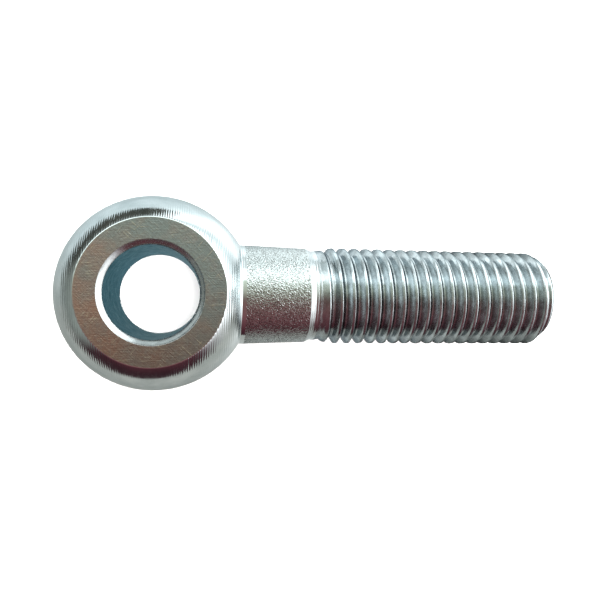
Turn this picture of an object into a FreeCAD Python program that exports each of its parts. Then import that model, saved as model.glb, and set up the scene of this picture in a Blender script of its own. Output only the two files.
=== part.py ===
import FreeCAD, Part
import math
import os

# Eye bolt M20 x 80 with a ball eye, drop forged in one piece from round steel bar.
# The ball is turned about the shank axis, cut by two parallel flats and bored for a pin.
# Behind it come the as-forged neck, a turned shoulder and blank, and a rolled right-hand
# coarse thread that runs out into the blank.
#
# Frame: origin at the centre of the ball, +Z along the pin bore, +X along the shank to the
# threaded end.  Lengths are in millimetres and angles in degrees.

# ball eye
BALL_DIAMETER = 38.0
EYE_WIDTH = 27.0
FLAT_EDGE_ROUND = 0.3
BORE_DIAMETER = 17.0
COUNTERSINK_DIAMETER = 18.9
COUNTERSINK_DEPTH = 0.95

# neck: a short turned land beside the ball, then the forged surface with its die draft
BALL_FILLET = 0.3
NECK_ROOT_DIAMETER = 19.85
NECK_END_DIAMETER = 19.15
LAND_END_X = 17.1
SHOULDER_X = 29.4
SHOULDER_ROUND = 0.5

# turned blank ahead of the thread, close to the pitch diameter
BLANK_DIAMETER = 18.2
BLANK_X = 30.4
BLANK_FILLET = 0.4

# M20 x 2.5 thread; a crest lies on the +Y side at THREAD_CREST_X
THREAD_DIAMETER = 19.64
THREAD_PITCH = 2.5
PITCH_DIAMETER = 18.376
ROOT_DIAMETER = 16.93
FLANK_ANGLE = 30.0
THREAD_CREST_X = 37.15
RUN_OUT_X = 31.4
FULL_THREAD_X = 35.0
BOLT_END_X = 80.5
END_FACE_DIAMETER = 16.2
END_CHAMFER_LENGTH = 2.3
END_EDGE_ROUND = 0.5

# construction margins of the helical ridge and of the sleeves that trim it
RIDGE_BURY = 0.25
RIDGE_OVERSHOOT = 0.25
SLEEVE_LEAD = 0.9
SLEEVE_WALL = 2.0
TURNS_BEFORE_CREST = 3
OVERRUN = 2.5
TOLERANCE = 1e-6

AXIS_X = FreeCAD.Vector(1, 0, 0)
AXIS_Z = FreeCAD.Vector(0, 0, 1)
CENTRE = FreeCAD.Vector(0, 0, 0)


def on_profile(x, radius):
    """Point of a profile drawn in the XY half plane, y being the radius about the shank."""
    return FreeCAD.Vector(x, radius, 0)


def rounded_path(corners):
    """Edges through (point, round) corners, each inner corner rounded by a tangent arc."""
    edges = []
    last = corners[0][0]
    for index in range(1, len(corners)):
        point, radius = corners[index]
        if radius > 0:
            back = (last - point).normalize()
            ahead = (corners[index + 1][0] - point).normalize()
            half_angle = back.getAngle(ahead) / 2
            setback = radius / math.tan(half_angle)
            start = point + back * setback
            end = point + ahead * setback
            middle_line = (back + ahead).normalize()
            middle = point + middle_line * (radius / math.sin(half_angle) - radius)
            edges.append(Part.makeLine(last, start))
            edges.append(Part.Arc(start, middle, end).toShape())
            last = end
        else:
            edges.append(Part.makeLine(last, point))
            last = point
    return edges


def revolve_about_shank(edges):
    """Solid of revolution about the shank axis from a closed chain of profile edges."""
    wire = Part.Wire(edges)
    return Part.Face(wire).revolve(CENTRE, AXIS_X, 360)


def turned_body():
    """Ball, fillet, neck, shoulder, blank and the taper that fills the first grooves."""
    ball = BALL_DIAMETER / 2
    root = NECK_ROOT_DIAMETER / 2
    fillet_y = root + BALL_FILLET
    fillet_x = math.sqrt((ball + BALL_FILLET) ** 2 - fillet_y ** 2)
    fillet_centre = on_profile(fillet_x, fillet_y)
    on_ball = fillet_centre * (ball / (ball + BALL_FILLET))
    on_land = on_profile(fillet_x, root)
    toward_corner = ((on_ball + on_land) / 2 - fillet_centre).normalize()
    fillet_middle = fillet_centre + toward_corner * BALL_FILLET
    pole = on_profile(-ball, 0)
    side = on_profile(0, ball)
    fill_end_x = FULL_THREAD_X + SLEEVE_LEAD
    fill_slope = (BLANK_DIAMETER - ROOT_DIAMETER) / 2 / (FULL_THREAD_X - RUN_OUT_X)
    fill_end_radius = ROOT_DIAMETER / 2 - SLEEVE_LEAD * fill_slope
    corners = [
        (on_land, 0),
        (on_profile(LAND_END_X, root), 0),
        (on_profile(SHOULDER_X, NECK_END_DIAMETER / 2), SHOULDER_ROUND),
        (on_profile(BLANK_X, BLANK_DIAMETER / 2), BLANK_FILLET),
        (on_profile(RUN_OUT_X, BLANK_DIAMETER / 2), 0),
        (on_profile(fill_end_x, fill_end_radius), 0),
        (on_profile(fill_end_x, 0), 0),
        (pole, 0),
    ]
    ball_arc = Part.Arc(pole, side, on_ball).toShape()
    fillet_arc = Part.Arc(on_ball, fillet_middle, on_land).toShape()
    return revolve_about_shank([ball_arc, fillet_arc] + rounded_path(corners))


def ridge_half_width(radius):
    """Half the axial width of the thread ridge at a radius, from the 60 degree form."""
    below_pitch_line = PITCH_DIAMETER / 2 - radius
    return THREAD_PITCH / 4 + below_pitch_line * math.tan(math.radians(FLANK_ANGLE))


def helical_ridge():
    """Right-hand ridge swept along the shank, longer and taller than the finished thread."""
    inner = ROOT_DIAMETER / 2 - RIDGE_BURY
    outer = THREAD_DIAMETER / 2 + RIDGE_OVERSHOOT
    start_x = THREAD_CREST_X - TURNS_BEFORE_CREST * THREAD_PITCH
    length = BOLT_END_X + OVERRUN - THREAD_PITCH - start_x
    turns = math.ceil(length / THREAD_PITCH)
    helix = Part.makeHelix(THREAD_PITCH, turns * THREAD_PITCH, PITCH_DIAMETER / 2)
    section = Part.makePolygon([
        FreeCAD.Vector(inner, 0, -ridge_half_width(inner)),
        FreeCAD.Vector(outer, 0, -ridge_half_width(outer)),
        FreeCAD.Vector(outer, 0, ridge_half_width(outer)),
        FreeCAD.Vector(inner, 0, ridge_half_width(inner)),
        FreeCAD.Vector(inner, 0, -ridge_half_width(inner)),
    ])
    ridge = Part.Wire(helix).makePipeShell([section], True, True)
    cyclic = FreeCAD.Rotation(FreeCAD.Vector(1, 1, 1), 120)
    ridge.Placement = FreeCAD.Placement(on_profile(start_x, 0), cyclic)
    return ridge


def crest_sleeve():
    """Ring outside the major cylinder, which trims the ridge to its narrow crest."""
    major = THREAD_DIAMETER / 2
    outside = major + SLEEVE_WALL
    start = on_profile(THREAD_CREST_X - (TURNS_BEFORE_CREST + 1) * THREAD_PITCH, 0)
    length = BOLT_END_X + 2 * OVERRUN - start.x
    outer = Part.makeCylinder(outside, length, start, AXIS_X)
    return outer.cut(Part.makeCylinder(major, length, start, AXIS_X))


def run_out_sleeve():
    """Tapered ring that lets the thread rise out of the blank over the run-out."""
    blank = BLANK_DIAMETER / 2
    slope = (THREAD_DIAMETER / 2 - blank) / (FULL_THREAD_X - RUN_OUT_X)
    first_x = THREAD_CREST_X - (TURNS_BEFORE_CREST + 1) * THREAD_PITCH
    last_x = FULL_THREAD_X + SLEEVE_LEAD
    outside = blank + (last_x - RUN_OUT_X) * slope
    corners = [
        (on_profile(first_x, blank - (RUN_OUT_X - first_x) * slope), 0),
        (on_profile(last_x, outside), 0),
        (on_profile(first_x, outside), 0),
        (on_profile(first_x, blank - (RUN_OUT_X - first_x) * slope), 0),
    ]
    return revolve_about_shank(rounded_path(corners))


def start_trim():
    """Block that removes the raw start of the thread, which lies inside the blank."""
    corner = FreeCAD.Vector(0, -BALL_DIAMETER, -BALL_DIAMETER)
    length = RUN_OUT_X - SLEEVE_LEAD
    return Part.makeBox(length, 2 * BALL_DIAMETER, 2 * BALL_DIAMETER, corner)


def threaded_core():
    """Root cylinder with the ridge on it, trimmed to the crest, the run-out and the start."""
    raw_start = on_profile(THREAD_CREST_X - (TURNS_BEFORE_CREST + 2) * THREAD_PITCH, 0)
    length = BOLT_END_X + OVERRUN - raw_start.x
    core = Part.makeCylinder(ROOT_DIAMETER / 2, length, raw_start, AXIS_X)
    threaded = helical_ridge().fuse(core)
    for tool in (crest_sleeve(), run_out_sleeve(), start_trim()):
        threaded = threaded.cut(tool)
    return threaded


def end_trim():
    """Ring and disc removed at the threaded end to leave the chamfer and its round edge."""
    outside = THREAD_DIAMETER / 2 + RIDGE_OVERSHOOT
    face = END_FACE_DIAMETER / 2
    chamfer_x = BOLT_END_X - END_CHAMFER_LENGTH
    beyond = BOLT_END_X + 2 * OVERRUN
    corners = [
        (on_profile(BOLT_END_X, 0), 0),
        (on_profile(BOLT_END_X, face), END_EDGE_ROUND),
        (on_profile(chamfer_x, THREAD_DIAMETER / 2), 0),
        (on_profile(chamfer_x, outside), 0),
        (on_profile(beyond, outside), 0),
        (on_profile(beyond, 0), 0),
        (on_profile(BOLT_END_X, 0), 0),
    ]
    return revolve_about_shank(rounded_path(corners))


def eye_slab():
    """Block between the two parallel faces of the eye, long enough for the whole bolt."""
    reach = BOLT_END_X + 2 * BALL_DIAMETER
    corner = FreeCAD.Vector(-reach, -reach, -EYE_WIDTH / 2)
    return Part.makeBox(2 * reach, 2 * reach, EYE_WIDTH, corner)


def pin_bore():
    """Through bore along Z with a countersink at each face."""
    bore = BORE_DIAMETER / 2
    sink = COUNTERSINK_DIAMETER / 2
    half = EYE_WIDTH / 2
    tool = Part.makeCylinder(bore, EYE_WIDTH, FreeCAD.Vector(0, 0, -half), AXIS_Z)
    for side in (-1, 1):
        face = FreeCAD.Vector(0, 0, side * half)
        inward = FreeCAD.Vector(0, 0, -side)
        tool = tool.fuse(Part.makeCone(sink, bore, COUNTERSINK_DEPTH, face, inward))
    return tool


def flat_rim_edges(shape):
    """The two circles where the ball meets the flats."""
    ball = BALL_DIAMETER / 2
    half = EYE_WIDTH / 2
    rim = math.sqrt(ball ** 2 - half ** 2)
    found = []
    for edge in shape.Edges:
        if edge.Degenerated or not isinstance(edge.Curve, Part.Circle):
            continue
        on_face = abs(abs(edge.Curve.Center.z) - half) < TOLERANCE
        if on_face and abs(edge.Curve.Radius - rim) < TOLERANCE:
            found.append(edge)
    return found


def eye_bolt():
    """The whole forging with its bore and thread."""
    body = turned_body().common(eye_slab())
    body = body.makeFillet(FLAT_EDGE_ROUND, flat_rim_edges(body))
    body = body.cut(pin_bore())
    return body.fuse(threaded_core()).cut(end_trim())


os.makedirs("parts", exist_ok=True)
bolt = eye_bolt()
bolt.exportStep("parts/eye_bolt.step")
print("eye_bolt", bolt.ShapeType, len(bolt.Solids), bolt.isValid(), round(bolt.Volume, 1))
print(bolt.BoundBox)
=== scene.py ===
import bpy
import bmesh
import math
import numpy as np
from mathutils import Matrix, Vector


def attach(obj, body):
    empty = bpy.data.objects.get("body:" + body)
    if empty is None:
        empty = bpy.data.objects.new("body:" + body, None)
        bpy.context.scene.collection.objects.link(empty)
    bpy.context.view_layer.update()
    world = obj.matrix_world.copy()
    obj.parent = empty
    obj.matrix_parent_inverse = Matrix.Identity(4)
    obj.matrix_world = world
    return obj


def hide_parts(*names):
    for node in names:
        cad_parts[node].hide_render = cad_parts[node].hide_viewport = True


# Zinc-plated steel eye bolt: ball eye, forged neck, turned shoulder and a rolled thread.
# The frame is the CAD frame: origin at the ball's centre, +Z along the pin bore, +X along
# the shank.  Shape constants are in millimetres; the mesh is scaled to metres at the end.

MM = 0.001

# ball eye
BALL_RADIUS = 19.0
HALF_WIDTH = 13.5
FLAT_EDGE_ROUND = 0.3
BORE_RADIUS = 8.5
COUNTERSINK_RADIUS = 9.45
COUNTERSINK_DEPTH = 0.95

# neck, shoulder and blank
BALL_FILLET = 0.3
NECK_ROOT_RADIUS = 9.925
NECK_END_RADIUS = 9.575
LAND_END_X = 17.1
SHOULDER_X = 29.4
SHOULDER_ROUND = 0.5
BLANK_RADIUS = 9.1
BLANK_X = 30.4
BLANK_FILLET = 0.4

# thread and end
CREST_RADIUS = 9.82
ROOT_RADIUS = 8.465
PITCH_RADIUS = 9.188
PITCH = 2.5
FLANK_ANGLE = math.radians(30)
CREST_X = 37.15
CREST_ROUND = 0.15
ROOT_ROUND = 0.3
RUN_OUT_X = 31.4
FULL_THREAD_X = 35.0
END_X = 80.5
END_FACE_RADIUS = 8.1
END_CHAMFER = 2.3
END_ROUND = 0.5

# mesh fineness
AROUND = 160
BAND_COLUMNS = 150
PATCH_RINGS = 12
THREAD_START_X = 31.2
THREAD_STOP_X = 80.05
END_HUB_RADIUS = 0.4
MERGE_DISTANCE = 0.0002

# narrow strips of faces that keep the shading crisp beside an edge
THIN_STRIP = 0.03
STRIP = 0.04
WIDE_STRIP = 0.05

TURNED, MILLED, SUNK, BORED, FORGED, BLANK, ROLLED, CHAMFER, END = range(9)


def arc(centre, radius, start, end, steps):
    """Points on a circular arc between two angles, both ends included."""
    angles = np.linspace(start, end, steps + 1)
    return [(centre[0] + radius * math.cos(a), centre[1] + radius * math.sin(a)) for a in angles]


def rounded(last, corner, ahead, radius, steps):
    """Points of the arc that rounds a corner between two straight runs of a profile."""
    last, corner, ahead = (np.array(p, float) for p in (last, corner, ahead))
    back = (last - corner) / np.linalg.norm(last - corner)
    onward = (ahead - corner) / np.linalg.norm(ahead - corner)
    half = math.acos(float(np.clip(back @ onward, -1, 1))) / 2
    middle = (back + onward) / np.linalg.norm(back + onward)
    centre = corner + middle * radius / math.sin(half)
    start = corner + back * radius / math.tan(half) - centre
    end = corner + onward * radius / math.tan(half) - centre
    turn = math.atan2(start[0] * end[1] - start[1] * end[0], start @ end)
    first = math.atan2(start[1], start[0])
    return arc(centre, radius, first, first + turn, steps)


def straight(start, end, steps):
    """Evenly spaced points after start, up to and including end."""
    return [(start[0] + (end[0] - start[0]) * k / steps, start[1] + (end[1] - start[1]) * k / steps)
            for k in range(1, steps + 1)]


def about_shank(profile, angles):
    """Grid of a profile of (x, radius) points turned about the X axis."""
    x = np.array([p[0] for p in profile])[:, None]
    radius = np.array([p[1] for p in profile])[:, None]
    return np.stack([x + 0 * angles, radius * np.cos(angles), radius * np.sin(angles)], axis=-1)


def about_bore(profile, azimuths):
    """Grid of a profile of (radius, z) points turned about the Z axis."""
    radius = np.array([p[0] for p in profile])[:, None]
    z = np.array([p[1] for p in profile])[:, None]
    return np.stack([radius * np.cos(azimuths), radius * np.sin(azimuths), z + 0 * azimuths], axis=-1)


def on_ball(azimuth, latitude):
    """Points of the ball from angles in radians."""
    return BALL_RADIUS * np.stack([np.cos(latitude) * np.cos(azimuth),
                                   np.cos(latitude) * np.sin(azimuth),
                                   np.sin(latitude) + 0 * azimuth], axis=-1)


class Skin:
    """Grids of points joined into one surface, each face with the finish that it has."""

    def __init__(self):
        self.points = []
        self.quads = []
        self.finishes = []
        self.count = 0

    def add(self, grid, finish):
        rows, columns = grid.shape[:2]
        index = self.count + np.arange(rows * columns).reshape(rows, columns)
        quads = np.stack([index[:-1, :-1], index[:-1, 1:], index[1:, 1:], index[1:, :-1]], axis=-1)
        quads = quads.reshape(-1, 4)
        self.points.append(grid.reshape(-1, 3))
        self.quads.append(quads)
        self.finishes.append(np.full(len(quads), finish))
        self.count += rows * columns

    def mesh(self, name):
        points = np.concatenate(self.points) * MM
        quads = np.concatenate(self.quads)
        finishes = np.concatenate(self.finishes)
        mesh = bpy.data.meshes.new(name)
        mesh.from_pydata(points.tolist(), [], quads.tolist())
        mesh.polygons.foreach_set("material_index", finishes.astype(np.int32))
        work = bmesh.new()
        work.from_mesh(mesh)
        bmesh.ops.remove_doubles(work, verts=work.verts, dist=MERGE_DISTANCE * MM)
        bmesh.ops.recalc_face_normals(work, faces=work.faces)
        for face in work.faces:
            face.smooth = True
        work.to_mesh(mesh)
        work.free()
        return mesh


def add_eye(skin):
    """Ball, flats, countersinks and bore, and the ring on the ball where the neck starts."""
    edge_z = HALF_WIDTH - FLAT_EDGE_ROUND
    edge_radius = math.sqrt((BALL_RADIUS - FLAT_EDGE_ROUND) ** 2 - edge_z ** 2)
    latitude = math.atan2(edge_z, edge_radius)
    angles = np.arange(AROUND + 1) * 2 * math.pi / AROUND
    eighth = AROUND // 8
    near = latitude / np.tan(angles[eighth:3 * eighth + 1])
    far = np.linspace(latitude, 2 * math.pi - latitude, BAND_COLUMNS + 1)
    azimuths = np.concatenate([near[::-1], far[1:]])
    latitudes = latitude * np.tan(angles[:eighth + 1])
    latitudes = np.concatenate([-latitudes[:0:-1], latitudes])
    skin.add(on_ball(far[None, :], latitudes[:, None]), TURNED)

    fillet_radius = NECK_ROOT_RADIUS + BALL_FILLET
    fillet_x = math.sqrt((BALL_RADIUS + BALL_FILLET) ** 2 - fillet_radius ** 2)
    neck_angle = math.atan2(fillet_radius, fillet_x)
    reach = latitude / np.maximum(np.abs(np.cos(angles)), np.abs(np.sin(angles)))
    outer = on_ball(reach * np.cos(angles), reach * np.sin(angles))
    inner = BALL_RADIUS * np.stack([np.full_like(angles, math.cos(neck_angle)),
                                    math.sin(neck_angle) * np.cos(angles),
                                    math.sin(neck_angle) * np.sin(angles)], axis=-1)
    share = np.linspace(0, 1, PATCH_RINGS + 1)[:, None, None]
    patch = outer * (1 - share) + inner * share
    patch *= BALL_RADIUS / np.linalg.norm(patch, axis=-1, keepdims=True)
    skin.add(patch, TURNED)

    wall_z = HALF_WIDTH - COUNTERSINK_DEPTH
    for side in (1, -1):
        flat = [(COUNTERSINK_RADIUS, HALF_WIDTH), (COUNTERSINK_RADIUS + STRIP, HALF_WIDTH)]
        flat += straight(flat[-1], (edge_radius - WIDE_STRIP, HALF_WIDTH), 6)
        flat += [(edge_radius, HALF_WIDTH)]
        edge = arc((edge_radius, edge_z), FLAT_EDGE_ROUND, math.pi / 2, latitude, 5)
        sink = [(BORE_RADIUS, wall_z), (BORE_RADIUS + THIN_STRIP, wall_z + STRIP)]
        sink += straight(sink[-1], (COUNTERSINK_RADIUS - THIN_STRIP, HALF_WIDTH - STRIP), 3)
        sink += [(COUNTERSINK_RADIUS, HALF_WIDTH)]
        for profile, finish in ((flat, MILLED), (edge, TURNED), (sink, SUNK)):
            skin.add(about_bore([(radius, side * z) for radius, z in profile], azimuths), finish)
    wall = [(BORE_RADIUS, wall_z), (BORE_RADIUS, wall_z - WIDE_STRIP)]
    wall += straight(wall[-1], (BORE_RADIUS, WIDE_STRIP - wall_z), 8)
    wall += [(BORE_RADIUS, -wall_z)]
    skin.add(about_bore(wall, azimuths), BORED)


def add_neck(skin):
    """Fillet, smooth land, forged neck, shoulder and blank up to the start of the thread."""
    angles = np.arange(AROUND + 1) * 2 * math.pi / AROUND
    fillet_radius = NECK_ROOT_RADIUS + BALL_FILLET
    fillet_x = math.sqrt((BALL_RADIUS + BALL_FILLET) ** 2 - fillet_radius ** 2)
    toward_ball = math.atan2(-fillet_radius, -fillet_x)
    fillet = arc((fillet_x, fillet_radius), BALL_FILLET, toward_ball, -math.pi / 2, 6)
    land = [fillet[-1]] + straight(fillet[-1], (LAND_END_X, NECK_ROOT_RADIUS), 2)
    skin.add(about_shank(fillet, angles), TURNED)
    skin.add(about_shank(land, angles), TURNED)
    shoulder = (SHOULDER_X, NECK_END_RADIUS)
    foot = (BLANK_X, BLANK_RADIUS)
    thread_start = (THREAD_START_X, BLANK_RADIUS)
    top = rounded(land[-1], shoulder, foot, SHOULDER_ROUND, 6)
    bottom = rounded(shoulder, foot, thread_start, BLANK_FILLET, 5)
    neck = [land[-1]] + straight(land[-1], top[0], 30)
    skin.add(about_shank(neck, angles), FORGED)
    skin.add(about_shank(top + bottom, angles), BLANK)
    skin.add(about_shank([bottom[-1]] + straight(bottom[-1], thread_start, 2), angles), BLANK)


def thread_profile():
    """Half a pitch of the thread form, from crest to root, as (axial offset, radius)."""
    crest = (PITCH / 4 - (CREST_RADIUS - PITCH_RADIUS) * math.tan(FLANK_ANGLE), CREST_RADIUS)
    root = (PITCH / 4 + (PITCH_RADIUS - ROOT_RADIUS) * math.tan(FLANK_ANGLE), ROOT_RADIUS)
    crest_arc = rounded((0, CREST_RADIUS), crest, root, CREST_ROUND, 3)
    root_arc = rounded(crest, root, (PITCH / 2, ROOT_RADIUS), ROOT_ROUND, 3)
    flank = straight(crest_arc[-1], root_arc[0], 2)[:-1]
    return [(0, CREST_RADIUS)] + crest_arc + flank + root_arc + [(PITCH / 2, ROOT_RADIUS)]


def end_profile():
    """Chamfer below the thread, rounded edge and flat end face, out to the axis."""
    chamfer = (END_X - END_CHAMFER, CREST_RADIUS)
    edge = (END_X, END_FACE_RADIUS)
    slope = (CREST_RADIUS - END_FACE_RADIUS) / END_CHAMFER
    start = (THREAD_STOP_X, END_FACE_RADIUS + (END_X - THREAD_STOP_X) * slope)
    return start, rounded(chamfer, edge, (END_X, 0), END_ROUND, 6)


def add_thread(skin):
    """Right-hand thread on a grid that follows the helix, clipped to plain circles at its ends."""
    half = thread_profile()
    offsets = np.array([p[0] for p in half] + [PITCH - p[0] for p in half[-2:0:-1]])
    form_x = np.array([p[0] for p in half])
    form_radius = np.array([p[1] for p in half])
    angles = np.arange(AROUND + 1) * 2 * math.pi / AROUND
    first = math.floor((THREAD_START_X - CREST_X) / PITCH) - 1
    last = math.ceil((THREAD_STOP_X - CREST_X) / PITCH) + 1
    starts = CREST_X + PITCH * np.arange(first, last)
    rows = (starts[:, None] + offsets[None, :]).reshape(-1, 1)
    x = rows + PITCH * angles / (2 * math.pi)
    x = np.clip(x, THREAD_START_X, THREAD_STOP_X)
    phase = np.mod(x - CREST_X - PITCH * angles / (2 * math.pi), PITCH)
    radius = np.interp(np.minimum(phase, PITCH - phase), form_x, form_radius)
    along = np.clip((x - RUN_OUT_X) / (FULL_THREAD_X - RUN_OUT_X), 0, 1)
    rise = BLANK_RADIUS + along * (CREST_RADIUS - BLANK_RADIUS)
    fill = BLANK_RADIUS + along * (ROOT_RADIUS - BLANK_RADIUS)
    slope = (CREST_RADIUS - END_FACE_RADIUS) / END_CHAMFER
    chamfer = END_FACE_RADIUS + (END_X - x) * slope
    radius = np.minimum(np.clip(radius, fill, rise), chamfer)
    grid = np.stack([x, radius * np.cos(angles), radius * np.sin(angles)], axis=-1)
    skin.add(grid, ROLLED)

    start, edge = end_profile()
    face = straight(edge[-1], (END_X, END_HUB_RADIUS), 6) + [(END_X, 0)]
    skin.add(about_shank([start] + edge, angles), CHAMFER)
    skin.add(about_shank([edge[-1]] + face, angles), END)


class Nodes:
    """Adds and links shader nodes in one node tree."""

    def __init__(self, tree):
        self.tree = tree

    def node(self, kind, inputs, output=0, **settings):
        """Adds a node, sets or links its inputs, and returns one of its outputs."""
        made = self.tree.nodes.new(kind)
        for key, value in settings.items():
            setattr(made, key, value)
        for key, value in inputs.items():
            if isinstance(value, bpy.types.NodeSocket):
                self.tree.links.new(value, made.inputs[key])
            else:
                made.inputs[key].default_value = value
        return made.outputs[output]

    def parts(self, vector):
        """The three components of a vector."""
        split = self.tree.nodes.new("ShaderNodeSeparateXYZ")
        self.tree.links.new(vector, split.inputs[0])
        return split.outputs

    def spread(self, value, low, high, start=0.0, end=1.0, smooth=False):
        """Maps a pattern's start..end onto low..high, clamped."""
        inputs = {"Value": value, "From Min": start, "From Max": end, "To Min": low, "To Max": high}
        curve = "SMOOTHSTEP" if smooth else "LINEAR"
        return self.node("ShaderNodeMapRange", inputs, interpolation_type=curve)

    def mix(self, share, first, second):
        """Blend of two colours, each a value or a socket."""
        inputs = {0: share}
        for key, colour in ((6, first), (7, second)):
            inputs[key] = colour if isinstance(colour, bpy.types.NodeSocket) else (*colour, 1)
        return self.node("ShaderNodeMix", inputs, output=2, data_type="RGBA")


class Finish(Nodes):
    """A plated-steel material whose colour, roughness and bump are built from simple patterns."""

    def __init__(self, name, colour, roughness, tint=(0.62, 0.65, 0.66)):
        self.material = bpy.data.materials.new(name)
        self.material.use_nodes = True
        super().__init__(self.material.node_tree)
        self.shader = self.tree.nodes["Principled BSDF"]
        self.shader.inputs["Base Color"].default_value = (*colour, 1)
        self.shader.inputs["Metallic"].default_value = 1
        self.shader.inputs["Roughness"].default_value = roughness
        self.shader.inputs["Specular Tint"].default_value = (*tint, 1)
        where = self.tree.nodes.new("ShaderNodeTexCoord").outputs["Object"]
        self.place = self.node("ShaderNodeVectorMath", {0: where, 3: 1 / MM}, operation="SCALE")
        self.normal = None

    def stretched(self, per_mm):
        """Coordinates scaled by a different amount along each axis."""
        return self.node("ShaderNodeVectorMath", {0: self.place, 1: per_mm}, operation="MULTIPLY")

    def noise(self, per_mm, detail=2.0, roughness=0.5, distortion=0.0):
        """Noise between 0 and 1 with that many features per millimetre along each axis."""
        return self.node("ShaderNodeTexNoise", {
            "Vector": self.stretched(per_mm), "Scale": 1.0, "Detail": detail,
            "Roughness": roughness, "Distortion": distortion,
        })

    def ring(self, per_mm, shank=False):
        """Noise that circles the bore, or the shank: features per mm outwards, per radian and
        per mm along the axis."""
        x, y, z = self.parts(self.place)
        across, up, along = (y, z, x) if shank else (x, y, z)
        flat = self.node("ShaderNodeCombineXYZ", {"X": across, "Y": up})
        distance = self.node("ShaderNodeVectorMath", {0: flat}, output=1, operation="LENGTH")
        angle = self.node("ShaderNodeMath", {0: up, 1: across}, operation="ARCTAN2")
        around = self.node("ShaderNodeCombineXYZ", {"X": distance, "Y": angle, "Z": along})
        scaled = self.node("ShaderNodeVectorMath", {0: around, 1: per_mm}, operation="MULTIPLY")
        return self.node("ShaderNodeTexNoise", {"Vector": scaled, "Scale": 1.0, "Detail": 2.0})

    def bump(self, height, depth_mm):
        """Adds one layer of relief of about that depth."""
        inputs = {"Height": height, "Distance": depth_mm * MM, "Strength": 1.0}
        if self.normal is not None:
            inputs["Normal"] = self.normal
        self.normal = self.node("ShaderNodeBump", inputs)
        self.tree.links.new(self.normal, self.shader.inputs["Normal"])

    def colour(self, socket):
        self.tree.links.new(socket, self.shader.inputs["Base Color"])

    def roughness(self, socket):
        self.tree.links.new(socket, self.shader.inputs["Roughness"])


BRIGHT = (0.74, 0.78, 0.79)
CLEAN = (0.62, 0.67, 0.68)
PALE = (0.56, 0.61, 0.62)
CLOUDED = (0.48, 0.51, 0.52)
DULL = (0.34, 0.355, 0.355)
DARK = (0.23, 0.24, 0.24)


def turned_finish(name, spacing, depth, roughness, clean, clouded):
    """Lathe marks that circle the shank, with the plating's faint clouding."""
    finish = Finish(name, clean, roughness)
    feed = finish.node("ShaderNodeTexWave", {
        "Vector": finish.place, "Scale": math.pi / 10 / spacing, "Distortion": 1.2,
        "Detail": 1.0, "Detail Scale": 0.15,
    }, output=1)
    finish.bump(feed, depth)
    finish.bump(finish.noise((1.6 / spacing, 0.10, 0.10), 2.0), depth * 1.6)
    finish.bump(finish.noise((3.0, 3.0, 3.0), 2.0), 0.0015)
    cloud = finish.noise((0.22, 0.22, 0.22), 3.0)
    finish.colour(finish.mix(finish.spread(cloud, 0, 1, 0.35, 0.7), clean, clouded))
    wear = finish.noise((0.9 / spacing, 0.3, 0.3), 3.0)
    finish.roughness(finish.spread(wear, roughness * 0.7, roughness * 1.5, 0.3, 0.7))
    return finish.material


def milled_finish():
    """Flat of the eye: dull plating with a painted reflection, browner to one side and darker to
    another, with facing marks and stray scratches."""
    finish = Finish("milled_face", PALE, 0.34)
    cloud = finish.spread(finish.noise((0.22, 0.22, 0.22), 4.0, 0.6), -0.3, 0.3, 0.3, 0.7)
    fine = finish.noise((1.7, 1.7, 1.7), 4.0, 0.65)
    speck = finish.noise((3.6, 3.6, 3.6), 2.0, 0.6)
    x, y, z = finish.parts(finish.place)
    # painted reflection: browner towards -X and -Y, broken up by random clouding
    across = finish.node("ShaderNodeMath", {0: x, 1: y}, operation="ADD")
    painted_brown_reflection = finish.node("ShaderNodeMath", {0: finish.spread(across, 1, 0, -21, 12), 1: cloud},
                        operation="ADD")
    base = finish.mix(finish.spread(painted_brown_reflection, 0, 1), (0.31, 0.36, 0.36), (0.47, 0.29, 0.23))
    # painted reflection: darker towards -Y
    aside = finish.node("ShaderNodeVectorMath", {0: finish.place, 1: (0.26, -0.97, 0)}, output=1,
                        operation="DOT_PRODUCT")
    base = finish.mix(finish.spread(aside, 0, 0.65, 0, 16), base, (0.15, 0.13, 0.12))
    base = finish.mix(finish.spread(fine, 0, 0.55, 0.45, 0.72), base, (0.17, 0.165, 0.15))
    base = finish.mix(finish.spread(speck, 0, 0.4, 0.55, 0.8), base, (0.48, 0.46, 0.38))
    finish.bump(finish.ring((3.0, 1.2, 0.5)), 0.010)
    for turn, per_mm in ((0.7, 5.5), (2.3, 5.0), (1.5, 6.0)):
        turned = finish.node("ShaderNodeVectorRotate", {"Vector": finish.place, "Angle": turn},
                             rotation_type="Z_AXIS")
        lines = finish.node("ShaderNodeVectorMath", {0: turned, 1: (per_mm, 0.35, 0.5)},
                            operation="MULTIPLY")
        scratch = finish.node("ShaderNodeTexNoise", {"Vector": lines, "Scale": 1.0, "Detail": 2.0})
        finish.bump(scratch, 0.03)
        base = finish.mix(finish.spread(scratch, 0, 0.7, 0.66, 0.74), base, (0.62, 0.57, 0.43))
    finish.bump(speck, 0.016)
    finish.bump(fine, 0.03)
    finish.colour(base)
    finish.roughness(finish.spread(fine, 0.26, 0.46, 0.3, 0.7))
    return finish.material


def sunk_finish():
    """Countersinks: bright, cut with a form tool."""
    finish = Finish("countersink", PALE, 0.2)
    finish.bump(finish.ring((4.0, 0.8, 4.0)), 0.004)
    finish.bump(finish.noise((1.4, 1.4, 1.4), 3.0), 0.01)
    cloud = finish.spread(finish.noise((0.5, 0.5, 0.5), 3.0), 0, 1, 0.4, 0.75)
    finish.colour(finish.mix(cloud, (0.62, 0.66, 0.67), (0.46, 0.49, 0.50)))
    finish.roughness(finish.spread(finish.noise((2.0, 2.0, 2.0), 2.0), 0.16, 0.3, 0.3, 0.7))
    return finish.material


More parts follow.
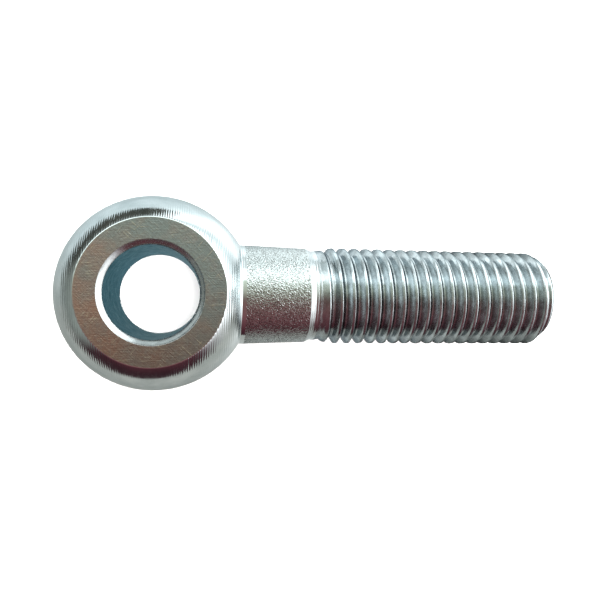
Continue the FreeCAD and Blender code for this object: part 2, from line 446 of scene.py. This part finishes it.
def bored_finish():
    """Bore: plating with a painted shade of the recess and a painted bluish reflection, with fine
    boring marks.
    """
    # very dark bluish colour and tint: painted shade of the recess and painted bluish reflection
    finish = Finish("bored_hole", (0.07, 0.13, 0.17), 0.32, (0.35, 0.6, 0.7))
    finish.bump(finish.ring((0.5, 1.5, 4.0)), 0.008)
    cloud = finish.spread(finish.noise((0.3, 0.3, 0.3), 3.0), 0, 1, 0.3, 0.7)
    # random clouding of the painted dark bluish base
    finish.colour(finish.mix(cloud, (0.065, 0.105, 0.135), (0.03, 0.055, 0.08)))
    finish.roughness(finish.spread(finish.noise((0.8, 0.8, 2.5), 2.0), 0.25, 0.45, 0.3, 0.7))
    return finish.material


def forged_finish():
    """Neck: blasted forging skin under the plating, a close grain of small dark pits."""
    finish = Finish("forged_neck", PALE, 0.22, (0.38, 0.4, 0.41))
    grain = finish.noise((3.6, 3.6, 3.6), 1.0, 0.4)
    pits = finish.noise((4.2, 4.2, 4.2), 1.0, 0.5)
    finish.bump(grain, 0.11)
    finish.bump(pits, 0.03)
    cloud = finish.spread(finish.noise((0.6, 0.6, 0.6), 3.0), 0, 1, 0.4, 0.8)
    base = finish.mix(cloud, (0.60, 0.65, 0.65), (0.50, 0.53, 0.53))
    finish.colour(finish.mix(finish.spread(pits, 0.9, 0, 0.36, 0.50), base, (0.20, 0.21, 0.20)))
    finish.roughness(finish.spread(grain, 0.15, 0.28, 0.3, 0.7))
    return finish.material


def rolled_finish():
    """Thread: flow lines along the groove, light scuffs on the crests."""
    finish = Finish("rolled_thread", PALE, 0.24, (0.22, 0.24, 0.26))
    finish.bump(finish.noise((2.6, 0.22, 0.22), 3.0, 0.6, 0.3), 0.035)
    finish.bump(finish.noise((1.6, 1.6, 1.6), 3.0), 0.012)
    cloud = finish.spread(finish.noise((0.5, 0.35, 0.35), 4.0, 0.65), 0, 1, 0.38, 0.68)
    finish.colour(finish.mix(cloud, (0.52, 0.58, 0.60), (0.31, 0.34, 0.35)))
    finish.roughness(finish.spread(finish.noise((1.5, 0.6, 0.6), 3.0), 0.14, 0.32, 0.3, 0.7))
    return finish.material


def end_finish(name, clean, clouded):
    """Faced end or its chamfer: rings about the shank with a few dull spots."""
    finish = Finish(name, clean, 0.18)
    finish.bump(finish.ring((3.2, 0.5, 3.2), True), 0.016)
    finish.bump(finish.noise((1.8, 1.8, 1.8), 3.0), 0.012)
    cloud = finish.noise((0.6, 0.6, 0.6), 3.0)
    finish.colour(finish.mix(finish.spread(cloud, 0, 1, 0.4, 0.7), clean, clouded))
    finish.roughness(finish.spread(finish.noise((2.2, 2.2, 2.2), 2.0), 0.12, 0.28, 0.3, 0.7))
    return finish.material


def area_light(name, location, target, size, power):
    """Soft white square lamp aimed at a point."""
    lamp = bpy.data.lights.new(name, "AREA")
    lamp.shape = "RECTANGLE"
    lamp.size = size
    lamp.size_y = size
    lamp.energy = power
    light = bpy.data.objects.new(name, lamp)
    light.location = location
    light.rotation_mode = "QUATERNION"
    light.rotation_quaternion = (Vector(target) - Vector(location)).to_track_quat("-Z", "Y")
    light.visible_camera = False
    light.visible_glossy = False
    bpy.context.scene.collection.objects.link(light)


# Room seen in the metal: colour by angle about the shank, 0 overhead and +90 towards +Y.
ROOM_RING = (
    (-180, (0.06, 0.06, 0.055)),
    (-108, (0.05, 0.02, 0.026)),
    (-90, (0.10, 0.030, 0.04)),
    (-60, (0.22, 0.085, 0.095)),
    (-20, (0.24, 0.13, 0.12)),
    (-10, (0.25, 0.18, 0.16)),
    (-3, (0.36, 0.33, 0.27)),
    (8, (0.55, 0.57, 0.47)),
    (31, (0.85, 0.95, 0.80)),
    (38, (2.6, 2.8, 2.8)),
    (54, (2.6, 2.8, 2.8)),
    (62, (0.90, 1.0, 1.0)),
    (80, (0.85, 0.95, 0.95)),
    (92, (0.80, 0.88, 0.86)),
    (100, (0.085, 0.09, 0.075)),
    (180, (0.06, 0.06, 0.055)),
)


def light_room():
    """World light: the ring above, a bright wall towards +X that is brightest high up, a dim wall
    towards -X, and a plain pale backdrop behind the floor."""
    world = bpy.data.worlds.new("room")
    world.use_nodes = True
    bpy.context.scene.world = world
    sky = Nodes(world.node_tree)
    sky.tree.nodes.clear()
    toward = sky.tree.nodes.new("ShaderNodeTexCoord").outputs["Generated"]
    x, y, z = sky.parts(toward)
    angle = sky.node("ShaderNodeMath", {0: y, 1: z}, operation="ARCTAN2")
    ramp = sky.tree.nodes.new("ShaderNodeValToRGB")
    sky.tree.links.new(sky.spread(angle, 0, 1, -math.pi, math.pi), ramp.inputs[0])
    stops = ramp.color_ramp.elements
    for degrees, colour in ROOM_RING[1:-1]:
        stops.new((degrees + 180) / 360).color = (*colour, 1)
    stops[0].color = (*ROOM_RING[0][1], 1)
    stops[-1].color = (*ROOM_RING[-1][1], 1)
    aside = sky.node("ShaderNodeVectorMath", {0: toward, 1: (0.94, 0.34, 0)}, output=1,
                     operation="DOT_PRODUCT")
    facing = sky.node("ShaderNodeMath", {0: x, 1: aside}, operation="MAXIMUM")
    lit = sky.node("ShaderNodeMath", {
        0: sky.spread(y, 0, 1, -0.95, 0.23, True), 1: sky.spread(z, 0, 0.45, -0.05, 0.10, True),
    }, operation="MAXIMUM")
    share = sky.node("ShaderNodeMath", {0: sky.spread(facing, 0, 1, 0.48, 0.78, True), 1: lit},
                     operation="MULTIPLY")
    high = sky.node("ShaderNodeMath", {
        0: sky.spread(facing, 0, 1, 0.70, 0.85, True), 1: sky.spread(z, 0, 1, 0.10, 0.30, True),
    }, operation="MULTIPLY")
    wall = sky.mix(high, (2.8, 2.9, 2.9), (5.0, 5.1, 5.1))
    room = sky.mix(share, ramp.outputs[0], wall)
    behind = sky.node("ShaderNodeVectorMath", {0: toward, 1: (-0.985, -0.17, 0)}, output=1,
                      operation="DOT_PRODUCT")
    room = sky.mix(sky.spread(behind, 0, 1, 0.78, 0.95, True), room, (0.31, 0.34, 0.31))
    straight_view = sky.tree.nodes.new("ShaderNodeLightPath").outputs["Is Camera Ray"]
    backdrop = sky.mix(straight_view, room, (1.2, 1.2, 1.2))
    background = sky.node("ShaderNodeBackground", {"Color": backdrop, "Strength": 1.0})
    output = sky.tree.nodes.new("ShaderNodeOutputWorld")
    sky.tree.links.new(background, output.inputs["Surface"])


def matte(name, colour):
    """Plain paper without sheen."""
    material = bpy.data.materials.new(name)
    material.use_nodes = True
    shader = material.node_tree.nodes["Principled BSDF"]
    shader.inputs["Base Color"].default_value = (*colour, 1)
    shader.inputs["Roughness"].default_value = 1
    shader.inputs["Specular IOR Level"].default_value = 0
    return material


def add_sheet(name, outline, height, material):
    """Flat sheet with that outline and height, in millimetres."""
    mesh = bpy.data.meshes.new(name)
    mesh.from_pydata([(x * MM, y * MM, height * MM) for x, y in outline], [], [range(len(outline))])
    mesh.materials.append(material)
    sheet = bpy.data.objects.new(name, mesh)
    bpy.context.scene.collection.objects.link(sheet)
    return sheet


# Stage, in millimetres: a wide floor, and a smaller card on it with one round end.
FLOOR_REACH = 1500
CARD_CENTRE = (14, 4)
CARD_RADIUS = 70
CARD_FAR_Y = 300
CARD_END_X = 420
# painted shadow of the bolt on the card, about the threaded end
TIP_SHADE_CENTRE = (92, 0, -HALF_WIDTH)
TIP_SHADE_SIZE = (62, 38)


def add_floor():
    """Plain pale floor under the bolt; the metal mirrors the card instead."""
    wide = [(-FLOOR_REACH, -FLOOR_REACH), (FLOOR_REACH, -FLOOR_REACH),
            (FLOOR_REACH, FLOOR_REACH), (-FLOOR_REACH, FLOOR_REACH)]
    floor = add_sheet("floor", wide, -HALF_WIDTH, matte("paper", (0.86, 0.86, 0.86)))
    floor.visible_glossy = False


def card_paper():
    """Glow of the card: stronger towards +Y, beside the neck and far out along +X, and weaker
    about the threaded end as a painted shadow of the bolt."""
    paper = matte("card", (0, 0, 0))
    look = Nodes(paper.node_tree)
    where = look.tree.nodes.new("ShaderNodeTexCoord").outputs["Object"]
    place = look.node("ShaderNodeVectorMath", {0: where, 3: 1 / MM}, operation="SCALE")
    x, y, z = look.parts(place)
    toward_y = look.spread(y, 0, 1, -15, 40, True)
    glow = look.mix(toward_y, (0.56, 0.57, 0.53), (1.06, 1.20, 1.22))
    beside_neck = look.node("ShaderNodeMath", {
        0: look.spread(x, 0, 1, 5, 34, True), 1: look.spread(x, 1, 0, 38, 70, True),
    }, operation="MULTIPLY")
    far_out = look.spread(x, 0, 0.8, 110, 150, True)
    extra = look.node("ShaderNodeMath", {
        0: beside_neck, 1: look.spread(y, 0, 1, -36, 0, True), 2: far_out,
    }, operation="MULTIPLY_ADD")
    glow = look.node("ShaderNodeVectorMath", {0: glow, 1: extra}, operation="ADD")
    from_tip = look.node("ShaderNodeVectorMath", {0: place, 1: TIP_SHADE_CENTRE},
                         operation="SUBTRACT")
    size = (1 / TIP_SHADE_SIZE[0], 1 / TIP_SHADE_SIZE[1], 0)
    from_tip = look.node("ShaderNodeVectorMath", {0: from_tip, 1: size}, operation="MULTIPLY")
    distance = look.node("ShaderNodeVectorMath", {0: from_tip}, output=1, operation="LENGTH")
    shade = look.spread(distance, 0.3, 1, 0.5, 1.1, True)
    glow = look.node("ShaderNodeVectorMath", {0: glow, 3: shade}, operation="SCALE")
    shader = look.tree.nodes["Principled BSDF"]
    look.tree.links.new(glow, shader.inputs["Emission Color"])
    shader.inputs["Emission Strength"].default_value = 1
    return paper


def add_card():
    """Softly glowing card on the floor, seen only as a reflection in the metal."""
    outline = [(CARD_CENTRE[0], CARD_FAR_Y)]
    outline += arc(CARD_CENTRE, CARD_RADIUS, math.pi / 2, 3 * math.pi / 2, 32)
    outline += [(CARD_END_X, CARD_CENTRE[1] - CARD_RADIUS), (CARD_END_X, CARD_FAR_Y)]
    card = add_sheet("card", outline, -HALF_WIDTH + 0.01, card_paper())
    card.visible_camera = False
    card.visible_diffuse = False
    card.visible_shadow = False


# Camera: looks down on the bolt, a little from the ball's side.  Angles in degrees; the offset
# from the origin is in millimetres along the camera's own axes.
CAMERA_LENS = 36.69
CAMERA_YAW = 9.385
CAMERA_PITCH = -0.198
CAMERA_ROLL = -0.708
CAMERA_FROM_ORIGIN = Vector((28.343, -1.335, 120.683))


def add_camera():
    """Camera at the viewing angle above."""
    turn = (Matrix.Rotation(math.radians(CAMERA_ROLL), 3, "Z")
            @ Matrix.Rotation(math.radians(CAMERA_PITCH), 3, "X")
            @ Matrix.Rotation(math.radians(CAMERA_YAW), 3, "Y"))
    camera = bpy.data.objects.new("camera", bpy.data.cameras.new("camera"))
    camera.data.lens = CAMERA_LENS
    camera.data.sensor_width = 36
    camera.data.clip_start = 0.01
    camera.matrix_world = turn.transposed().to_4x4()
    camera.location = turn.transposed() @ CAMERA_FROM_ORIGIN * MM
    bpy.context.scene.collection.objects.link(camera)
    bpy.context.scene.camera = camera


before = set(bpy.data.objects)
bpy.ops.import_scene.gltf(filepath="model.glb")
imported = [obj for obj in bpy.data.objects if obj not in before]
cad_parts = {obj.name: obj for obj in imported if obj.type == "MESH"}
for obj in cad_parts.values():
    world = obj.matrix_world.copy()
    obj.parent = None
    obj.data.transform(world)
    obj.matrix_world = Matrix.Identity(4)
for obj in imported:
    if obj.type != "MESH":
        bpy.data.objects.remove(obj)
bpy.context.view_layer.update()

skin = Skin()
add_eye(skin)
add_neck(skin)
add_thread(skin)
bolt = bpy.data.objects.new("eye_bolt_visual", skin.mesh("eye_bolt_visual"))
bpy.context.scene.collection.objects.link(bolt)
finishes = {
    TURNED: turned_finish("turned_ball", 0.42, 0.017, 0.11, BRIGHT, PALE),
    MILLED: milled_finish(),
    SUNK: sunk_finish(),
    BORED: bored_finish(),
    FORGED: forged_finish(),
    BLANK: turned_finish("turned_blank", 0.45, 0.030, 0.2, CLEAN, CLOUDED),
    ROLLED: rolled_finish(),
    CHAMFER: end_finish("end_chamfer", BRIGHT, PALE),
    END: end_finish("end_face", DULL, DARK),
}
for index in sorted(finishes):
    bolt.data.materials.append(finishes[index])
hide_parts("eye_bolt")
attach(bolt, "root")

add_floor()
add_card()
light_room()
area_light("fill", (0.053, -0.008, 0.80), (0.03, 0, 0), 0.4, 9)
area_light("lens_side", (0.0083, -0.0013, 0.13), (0.0083, 0, 0), 0.02, 0.14)
area_light("key", (0.35, 0.45, 0.55), (0.03, 0, 0), 0.6, 4)
bpy.context.scene.view_settings.view_transform = "Standard"
add_camera()

print("faces", len(bolt.data.polygons), "vertices", len(bolt.data.vertices))
